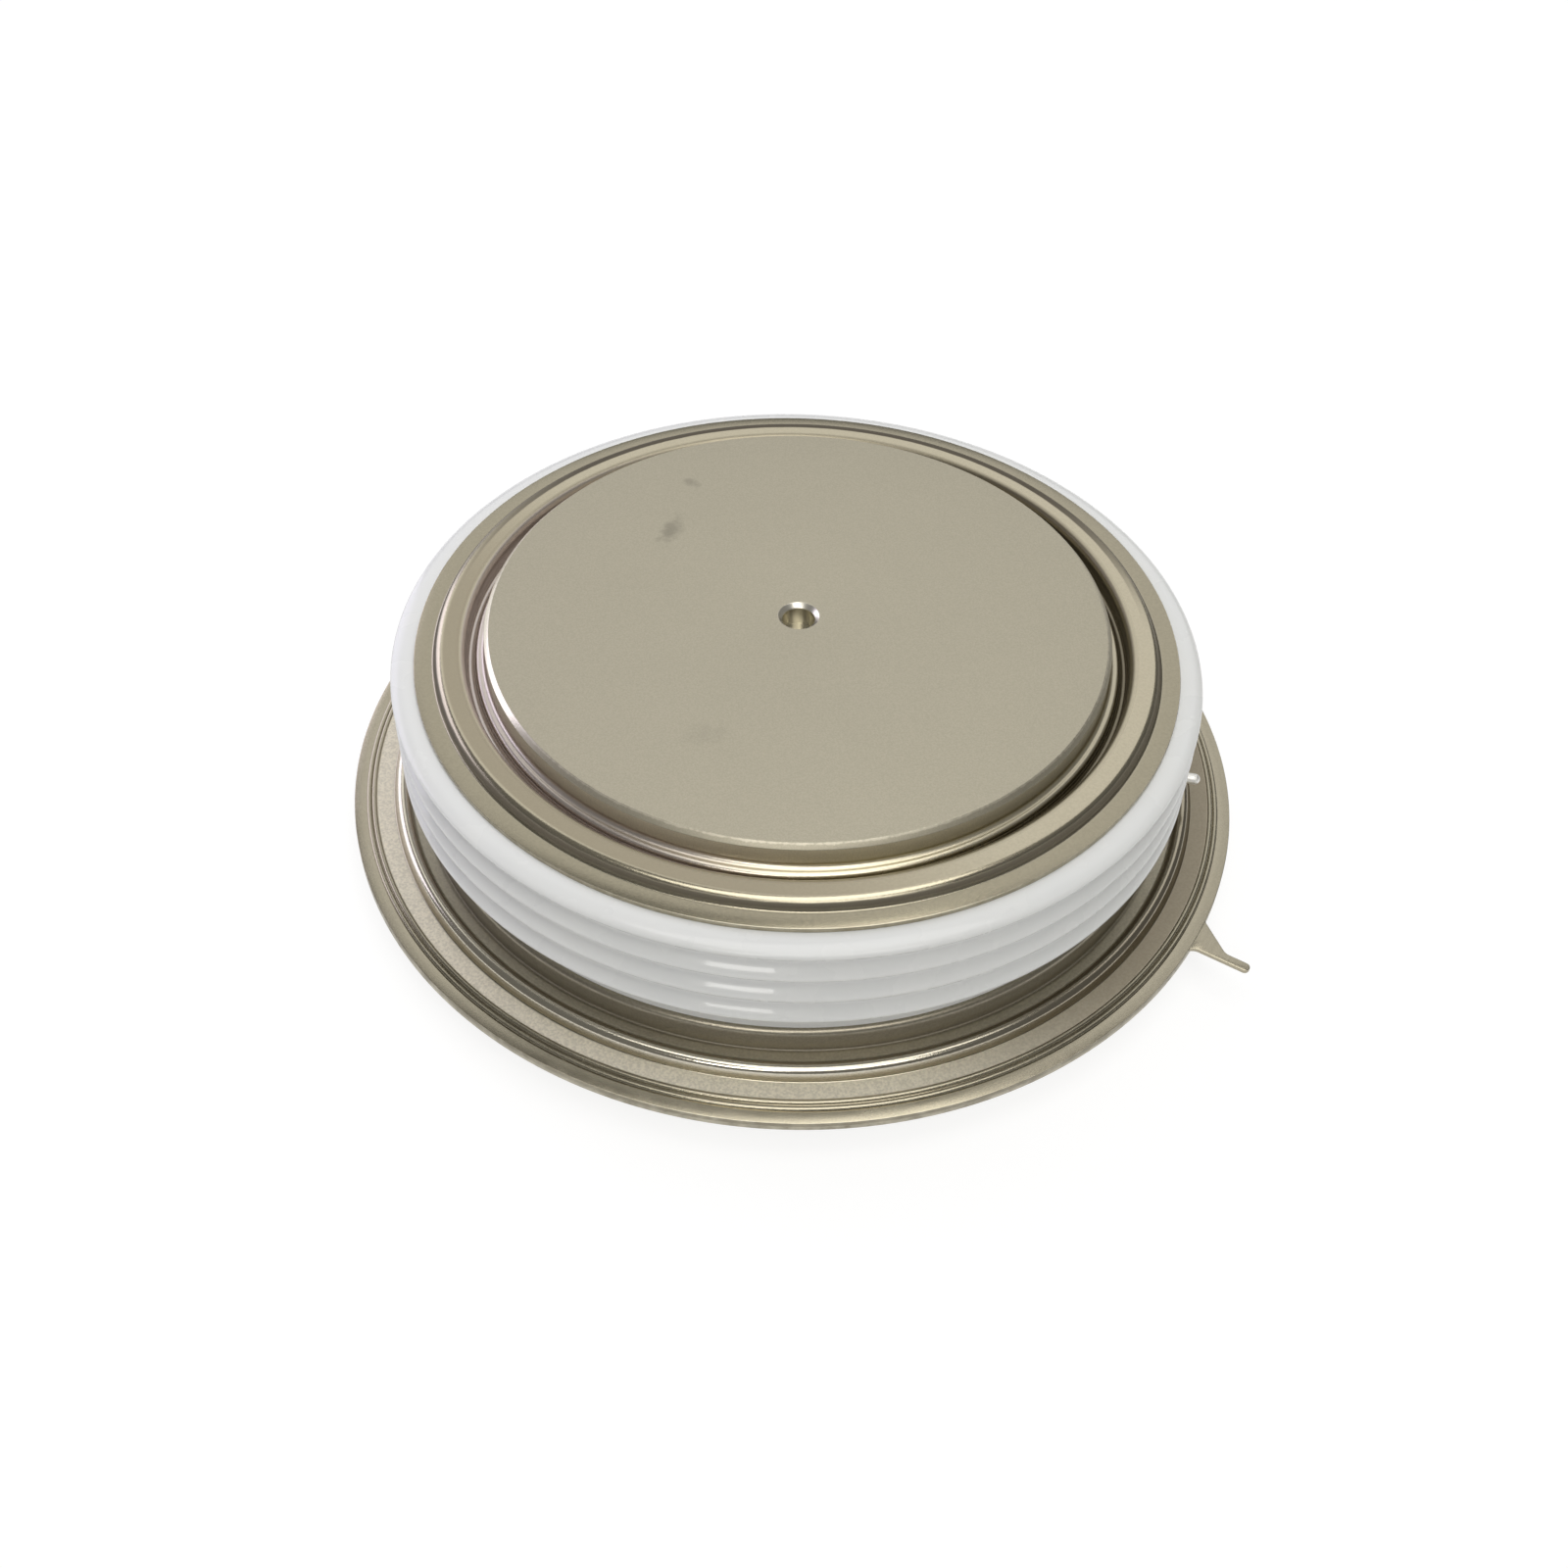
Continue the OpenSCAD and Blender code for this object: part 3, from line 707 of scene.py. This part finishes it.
material, tree, shader, spot = start_finish("pole_nickel", Metallic=1.0)
lathe = use(tree, place_on_lathe, {"Position": spot})
grain = use(tree, plate_grain, {"Position": spot, "Grain size": 0.16, "Cloud size": 8.0})
colour = mixed(tree, grain["Cloud"], FACE_DARK, FACE_LIGHT)
speckle = ease(tree, grain["Grain"], 0.3, 0.7, 0.94, 1.05)
colour = mixed(tree, 1.0, colour, speckle, "MULTIPLY")
for centre, reach, turn, share in SMUDGES:
    mark = smear(tree, spot, centre, reach, turn)
    colour = mixed(tree, sums(tree, "MULTIPLY", mark, share), colour, SMUDGE)
top_end = ease(tree, lathe["Height"], HEIGHT - 0.62, HEIGHT - 0.5)
low_end = ease(tree, lathe["Height"], 0.5, 0.62, 1.0, 0.0)
at_face = sums(tree, "MAXIMUM", top_end, low_end)
colour = mixed(tree, at_face, mixed(tree, 1.0, WALL_TONE, speckle, "MULTIPLY"), colour)
rub = use(tree, ragged_ring, {
    "Position": spot, "Radius": POLE_R - 0.42, "Reach": 0.06, "Fade": 0.1, "Ragged": 0.3, "Patch size": 0.5,
})["Mask"]
rub = sums(tree, "MULTIPLY", rub, sums(tree, "MULTIPLY", at_face, 0.7))
colour = mixed(tree, rub, colour, RUBBED_AND_HIGHLIGHT_TONE)
in_hole = ease(tree, lathe["Radius"], HOLE_R + 0.4, HOLE_R + 0.5, 1.0, 0.0)
colour = mixed(tree, in_hole, colour, mixed(tree, at_face, BORE_TONE, HOLE_TONE))
matte = ease(tree, grain["Cloud"], 0.3, 0.7, 0.48, 0.51)
marks = use(tree, turned_rings, {"Position": spot, "Pitch": 0.12})["Rings"]
wall_gloss = ease(tree, marks, 0.3, 0.7, 0.5, 0.58)
gloss = put(tree, "ShaderNodeMix", {0: at_face, 2: wall_gloss, 3: matte}).outputs[0]
gloss = put(tree, "ShaderNodeMix", {0: in_hole, 2: gloss, 3: 0.32}).outputs[0]
# painted highlight: the edge break is lightened and made glossier on the left side only, where the window's
# reflection falls
left_edge_painted_highlight = sums(tree, "MULTIPLY", at_face, ease(tree, lathe["Radius"], POLE_R - 0.55, POLE_R - 0.45))
left_edge_painted_highlight = sums(tree, "MULTIPLY", left_edge_painted_highlight, to_one_side(tree, spot, (-0.97, -0.2, 0), 0.85, 0.97))
gloss = put(tree, "ShaderNodeMix", {0: left_edge_painted_highlight, 2: gloss, 3: 0.2}).outputs[0]
tree.links.new(gloss, shader.inputs["Roughness"])
tree.links.new(mixed(tree, left_edge_painted_highlight, colour, RUBBED_AND_HIGHLIGHT_TONE), shader.inputs["Base Color"])
roughen(tree, shader, grain["Grain"], 0.25, 0.02)
pole_nickel = material
for piece in (anode_pole, cathode_pole):
    piece.data.materials.append(pole_nickel)
print("pole nickel:", len(tree.nodes), "nodes")

# %% [markdown]
# The pressed sheet is plated too, but it kept more of its shine. One recipe serves all the sheets,
# and only the lists of rings differ. A band gives a fold its own tone and gloss; on the housing flange
# the bead is lightened as a painted highlight and the flat as painted front light. A tint paints shade
# on one side of a ring, and one on the left paints a pinkish reflection of the window. Handled edges
# are rubbed bright. Rings of painted shade darken the feet of steps and folds, and the rim edges are
# darkened as well. This darkening lowers Metallic too: a dark metal still shines when it is seen at a
# low angle.

# %% Finish: sheet nickel
SHEET_LIGHT = linear(176, 169, 150)
SHEET_DARK = linear(160, 153, 134)
# the tone of painted shade in folds and at step feet and on shaded sides, and of darkened rim edges
SHEET_SHADE_AND_DIRT = linear(72, 64, 50)
BRAZED = linear(214, 206, 182)
CREAM = linear(187, 179, 157)
SEAT_TONE = linear(160, 153, 133)
# the matte flat of the housing flange, lightened as painted front light
FROSTED_AND_PAINTED_LIGHT = linear(226, 220, 204)
FLOOR_DULL = linear(164, 157, 141)
TROUGH = linear(192, 186, 168)
PAINTED_SHADE_TONE = linear(138, 128, 109)
PAINTED_ROSY_REFLECTION = linear(198, 188, 186)
# a painted highlight on the bead of the housing flange
PAINTED_BEAD_HIGHLIGHT = linear(208, 202, 186)
PAINTED_SIDE_FADE = 0.15
SHADE_DIRT_GLOSS = 0.75


def sheet_finish(name, shade_and_dirt_rings, rubbed_rings, bands=(), painted_light_and_shade=()):
    """Satin nickel with bands of another tone, painted light and shade on one side of rings, darkened rings
    of painted shade, and rubbed rings.
    """
    material, tree, shader, spot = start_finish(name)
    grain = use(tree, plate_grain, {"Position": spot, "Grain size": 0.14, "Cloud size": 5.0})
    rings = use(tree, turned_rings, {"Position": spot, "Pitch": 0.5})["Rings"]
    colour = mixed(tree, grain["Cloud"], SHEET_DARK, SHEET_LIGHT)
    speckle = ease(tree, grain["Grain"], 0.3, 0.7, 0.93, 1.05)
    colour = mixed(tree, 1.0, colour, speckle, "MULTIPLY")
    colour = mixed(tree, 1.0, colour, ease(tree, rings, 0.3, 0.7, 0.95, 1.03), "MULTIPLY")
    gloss = ease(tree, grain["Cloud"], 0.3, 0.7, 0.2, 0.28)
    coarse = use(tree, plate_grain, {"Position": spot, "Grain size": 0.26, "Cloud size": 5.0})["Grain"]
    for inner, outer, tone, band_gloss, sparkle in bands:
        band = ring_band(tree, spot, inner, outer)
        speckle = ease(tree, coarse, 0.3, 0.7, 1.0 - sparkle, 1.0 + sparkle)
        colour = mixed(tree, band, colour, mixed(tree, 1.0, tone, speckle, "MULTIPLY"))
        gloss = put(tree, "ShaderNodeMix", {0: band, 2: gloss, 3: band_gloss}).outputs[0]
    # painted light and shade on one side of a ring
    for inner, outer, share, side, tone in painted_light_and_shade:
        ring = ring_band(tree, spot, inner, outer, PAINTED_SIDE_FADE)
        painted_side = sums(tree, "MULTIPLY", ring, to_one_side(tree, spot, side))
        colour = mixed(tree, sums(tree, "MULTIPLY", painted_side, share), colour, tone)
    shade_dirt_share = 0.0
    # painted shade at the feet of steps and in folds, and darkened rim edges
    for centre, reach, fade, share, side in shade_and_dirt_rings:
        feeds = {
            "Position": spot, "Radius": centre, "Reach": reach, "Fade": fade,
            "Ragged": 0.1, "Patch size": 2.0,
        }
        dark = sums(tree, "MULTIPLY", use(tree, ragged_ring, feeds)["Mask"], share)
        if side:
            dark = sums(tree, "MULTIPLY", dark, to_one_side(tree, spot, side))
        colour = mixed(tree, dark, colour, SHEET_SHADE_AND_DIRT)
        shade_dirt_share = sums(tree, "MAXIMUM", shade_dirt_share, dark)
    gloss = put(tree, "ShaderNodeMix", {0: shade_dirt_share, 2: gloss, 3: SHADE_DIRT_GLOSS}).outputs[0]
    tree.links.new(ease(tree, shade_dirt_share, 0.0, 1.0, 1.0, 0.0), shader.inputs["Metallic"])
    for centre, reach, fade, share in rubbed_rings:
        feeds = {
            "Position": spot, "Radius": centre, "Reach": reach, "Fade": fade,
            "Ragged": 0.12, "Patch size": 1.2,
        }
        rub = sums(tree, "MULTIPLY", use(tree, ragged_ring, feeds)["Mask"], share)
        colour = mixed(tree, rub, colour, RUBBED_AND_HIGHLIGHT_TONE)
    tree.links.new(colour, shader.inputs["Base Color"])
    tree.links.new(gloss, shader.inputs["Roughness"])
    roughen(tree, shader, grain["Grain"], 0.3, 0.02)
    print(name, len(tree.nodes), "nodes")
    return material


diaphragm_nickel = sheet_finish(
    "diaphragm_nickel",
    # painted shade: a dark ring at the foot of the step, and the shoulder darkened on the far side
    shade_and_dirt_rings=[(38.46, 0.18, 0.2, 0.8, None), (37.85, 0.62, 0.2, 0.95, (0.05, 1, 0))],
    rubbed_rings=[(40.68, 0.04, 0.06, 0.3)],
    bands=[
        (33.0, 34.2, BRAZED, 0.3, 0.03), (35.2, 36.1, CREAM, 0.4, 0.03), (36.1, 38.1, CREAM, 0.19, 0.03),
        (38.9, 41.0, SEAT_TONE, 0.22, 0.04),
    ],
    # painted shade in the trough on the right and on the far side of the inner bend, painted shade on the
    # left of the plateau, and a painted pinkish reflection of the window on the left of the land
    painted_light_and_shade=[
        (33.5, 34.5, 0.3, (1, 0.15, 0), SHEET_SHADE_AND_DIRT), (34.5, 35.75, 0.6, (1, 0.15, 0), SHEET_SHADE_AND_DIRT),
        (35.4, 36.0, 0.35, (0, 1, 0), SHEET_SHADE_AND_DIRT),
        (35.9, 37.6, 0.6, (-1, -0.8, 0), PAINTED_SHADE_TONE), (33.2, 35.7, 0.7, (-1, -0.3, 0), PAINTED_ROSY_REFLECTION),
    ],
)
skirt_nickel = sheet_finish(
    "skirt_nickel",
    # painted shade at the foot of the wall under the ceramic on the front, and a thin dark ring at the
    # inner foot of the bead; the rim edge is darkened too
    shade_and_dirt_rings=[
        (41.7, 0.14, 0.12, 0.36, (-0.3, -1, 0)), (43.0, 0.08, 0.12, 0.3, None),
        (49.4, 0.02, 0.08, 0.4, None),
    ],
    rubbed_rings=[(49.36, 0.02, 0.05, 0.35)],
    # the bead's lighter tone is a painted highlight, and the flat's light tone is a matte finish lightened
    # as painted front light
    bands=[
        (41.0, 42.0, FLOOR_DULL, 0.34, 0.08), (42.0, 43.2, TROUGH, 0.44, 0.08),
        (43.4, 44.7, PAINTED_BEAD_HIGHLIGHT, 0.17, 0.03), (45.0, 46.85, FROSTED_AND_PAINTED_LIGHT, 0.6, 0.11),
    ],
    # painted shade: the bead and the flat are darkened on the right side
    painted_light_and_shade=[(43.3, 44.8, 0.7, (1, 0, 0), PAINTED_SHADE_TONE), (44.9, 46.9, 0.8, (1, 0.1, 0), PAINTED_SHADE_TONE)],
)
lid_nickel = sheet_finish(
    "lid_nickel",
    shade_and_dirt_rings=[(35.9, 0.2, 0.3, 0.4, None), (49.4, 0.02, 0.08, 0.4, None)],
    rubbed_rings=[(49.38, 0.03, 0.05, 0.4)],
)
for piece, finish in (
    (anode_diaphragm, diaphragm_nickel), (braze_fillet, diaphragm_nickel),
    (housing_flange, skirt_nickel), (weld_ridges, skirt_nickel),
    (cathode_tab, skirt_nickel), (cathode_diaphragm, lid_nickel),
):
    piece.data.materials.append(finish)

# %% [markdown]
# The ceramic is alumina under a white glaze. A glaze is clear glass over a matte body, so the
# shader gets a coat. Slow clouds keep the white from looking like paint, and a faint orange-peel
# bump breaks the edges of the reflections.

# %% Finish: glaze
GLAZE_LIGHT = linear(234, 235, 234)
GLAZE_DARK = linear(229, 231, 232)

material, tree, shader, spot = start_finish(
    "white_glaze", Coat_Weight=0.4, Coat_Roughness=0.03, Coat_IOR=1.5, Specular_IOR_Level=0.25
)
grain = use(tree, plate_grain, {"Position": spot, "Grain size": 1.6, "Cloud size": 7.0})
tree.links.new(mixed(tree, grain["Cloud"], GLAZE_DARK, GLAZE_LIGHT), shader.inputs["Base Color"])
tree.links.new(ease(tree, grain["Cloud"], 0.3, 0.7, 0.2, 0.32), shader.inputs["Roughness"])
roughen(tree, shader, grain["Grain"], 0.06, 0.03)
white_glaze = material
ceramic.data.materials.append(white_glaze)
print("glaze:", len(tree.nodes), "nodes")

# %% [markdown]
# The pieces inside are hidden once the housing is welded, but they keep their own finishes for
# anyone who takes the model apart: lapped molybdenum, polished silicon, rubber, silver, white plastic.
# The gate tube and the bead at its tip use the same recipe with a tinned white.

# %% Finishes inside


def inner_finish(name, dark, light, gloss, grain_size, cloud_size, metal):
    """A plain finish with a fine grain and slow clouds."""
    material, tree, shader, spot = start_finish(name, Metallic=metal)
    grain = use(tree, plate_grain, {"Position": spot, "Grain size": grain_size, "Cloud size": cloud_size})
    clouds = sums(tree, "MULTIPLY", grain["Cloud"], 0.6)
    share = sums(tree, "ADD", clouds, sums(tree, "MULTIPLY", grain["Grain"], 0.4))
    tree.links.new(mixed(tree, share, linear(*dark), linear(*light)), shader.inputs["Base Color"])
    tree.links.new(ease(tree, grain["Grain"], 0.3, 0.7, *gloss), shader.inputs["Roughness"])
    roughen(tree, shader, grain["Grain"], 0.2, 0.01)
    return material


INNER_LOOKS = {
    "molybdenum": ("lapped_molybdenum", (128, 130, 136), (156, 158, 163), (0.3, 0.42), 0.2, 6.0, 1.0),
    "silicon": ("polished_silicon", (58, 63, 78), (76, 81, 96), (0.1, 0.18), 0.4, 12.0, 0.6),
    "silicone": ("edge_rubber", (190, 186, 172), (208, 204, 190), (0.55, 0.68), 0.3, 3.0, 0.0),
    "silver": ("bright_silver", (222, 221, 215), (244, 243, 238), (0.3, 0.4), 0.25, 3.0, 1.0),
    "white_plastic": ("white_plastic", (228, 228, 220), (241, 241, 235), (0.42, 0.55), 0.4, 5.0, 0.0),
}
INNER = {slot: inner_finish(*look) for slot, look in INNER_LOOKS.items()}
tinned = inner_finish("tinned_tip", (238, 237, 232), (251, 250, 247), (0.46, 0.56), 0.25, 3.0, 1.0)
for piece in (gate_tube, gate_lead):
    piece.data.materials.append(tinned)
stood_for = {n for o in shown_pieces() for n in o.get("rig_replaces", [])}
for part in frame["record"]["subparts"]:
    if part["node"] not in stood_for:
        node = frame["nodes"][part["node"]]
        node.data.materials.clear()
        node.data.materials.append(INNER[part["material_slot"]])
print("inner finishes:", sorted(INNER), "and", tinned.name)

# %% [markdown]
# The stage is a plain pale floor. It shows as white to the camera and to reflections, and it still
# takes the shadow: most of its white is its own glow, and the rest is the light that falls on it.
# Other rays see an ordinary pale floor, so the glow adds no light to the object. It lies a hair
# below the object, so that no two faces share a plane.

# %% Floor
FLOOR_R = 4.0
FLOOR_TONE = (0.8, 0.8, 0.79, 1)
FLOOR_SHARE = (0.23, 0.23, 0.23, 1)
FLOOR_GLOW = 0.82
FLOOR_DROP = 0.02 * MM

bm = bmesh.new()
bmesh.ops.create_circle(bm, cap_ends=True, radius=FLOOR_R, segments=96)
floor_mesh = bpy.data.meshes.new("floor")
bm.to_mesh(floor_mesh)
bm.free()
floor = bpy.data.objects.new("floor", floor_mesh)
bpy.context.scene.collection.objects.link(floor)
floor.location.z = CAD_BOX[0].z - FLOOR_DROP

material = bpy.data.materials.new("pale_floor")
material.use_nodes = True
tree = material.node_tree
tree.nodes.clear()
path = put(tree, "ShaderNodeLightPath").outputs
seen = sums(tree, "MAXIMUM", path["Is Camera Ray"], path["Is Glossy Ray"])
seen = sums(tree, "MAXIMUM", seen, path["Is Transmission Ray"])
plain = put(tree, "ShaderNodeBsdfDiffuse", {"Color": FLOOR_TONE}).outputs[0]
shaded = put(tree, "ShaderNodeBsdfDiffuse", {"Color": FLOOR_SHARE}).outputs[0]
glow = put(tree, "ShaderNodeEmission", {"Strength": FLOOR_GLOW}).outputs[0]
white = put(tree, "ShaderNodeAddShader", {0: shaded, 1: glow}).outputs[0]
shown = put(tree, "ShaderNodeMixShader", {0: seen, 1: plain, 2: white}).outputs[0]
put(tree, "ShaderNodeOutputMaterial", {"Surface": shown})
floor_mesh.materials.append(material)
print("floor at", round(floor.location.z, 5))

# %% [markdown]
# The light is a soft studio of five panels. The flat faces mirror a wide one behind the object, and
# a bluish window on the left draws the bright lines along the folds. A lamp in front, a small one
# for the glints on the ribs and a panel overhead fill the rest. A dim, even room lies round them,
# which the camera alone sees as white. Matte metal shows mostly what stands round it, so the places
# of the panels matter more than their brightness.

# %% Light
ROOM = (0.60, 0.59, 0.565, 1)
ROOM_LEVEL = 0.3
AIM = Vector((0, 0, 0.015))


def soft_panel(name, at, size, level, colour=(1, 1, 1)):
    """A rectangular panel of one brightness that faces the object."""
    light = bpy.data.lights.new(name, "AREA")
    light.shape = "RECTANGLE"
    light.size, light.size_y = size
    light.energy = level * math.pi * size[0] * size[1]
    light.color = colour
    lamp = bpy.data.objects.new(name, light)
    bpy.context.scene.collection.objects.link(lamp)
    lamp.location = at
    lamp.rotation_euler = (AIM - Vector(at)).to_track_quat("-Z", "Y").to_euler()
    return lamp


soft_panel("back_panel", (0.04, 0.62, 0.58), (1.1, 0.8), 0.86)
soft_panel("left_window", (-0.598, 0.388, 0.225), (0.6, 0.42), 2.1, (0.86, 0.82, 1.0))
soft_panel("front_lamp", (0.16, -0.48, 0.7), (0.42, 0.36), 3.0, (1.0, 0.985, 0.95))
soft_panel("glint_lamp", (-0.13, -0.62, 0.52), (0.2, 0.14), 9.0, (1.0, 0.985, 0.95))
soft_panel("top_panel", (0.04, -0.05, 0.8), (0.6, 0.45), 2.4, (1.0, 0.99, 0.96))

world = bpy.data.worlds.new("room")
bpy.context.scene.world = world
world.use_nodes = True
tree = world.node_tree
tree.nodes.clear()
room = put(tree, "ShaderNodeBackground", {"Color": ROOM, "Strength": ROOM_LEVEL}).outputs[0]
backdrop = put(tree, "ShaderNodeBackground", {"Color": (1, 1, 1, 1)}).outputs[0]
seen = put(tree, "ShaderNodeLightPath").outputs["Is Camera Ray"]
shown = put(tree, "ShaderNodeMixShader", {0: seen, 1: room, 2: backdrop}).outputs[0]
put(tree, "ShaderNodeOutputWorld", {"Surface": shown})
bpy.context.scene.view_settings.view_transform = "Standard"
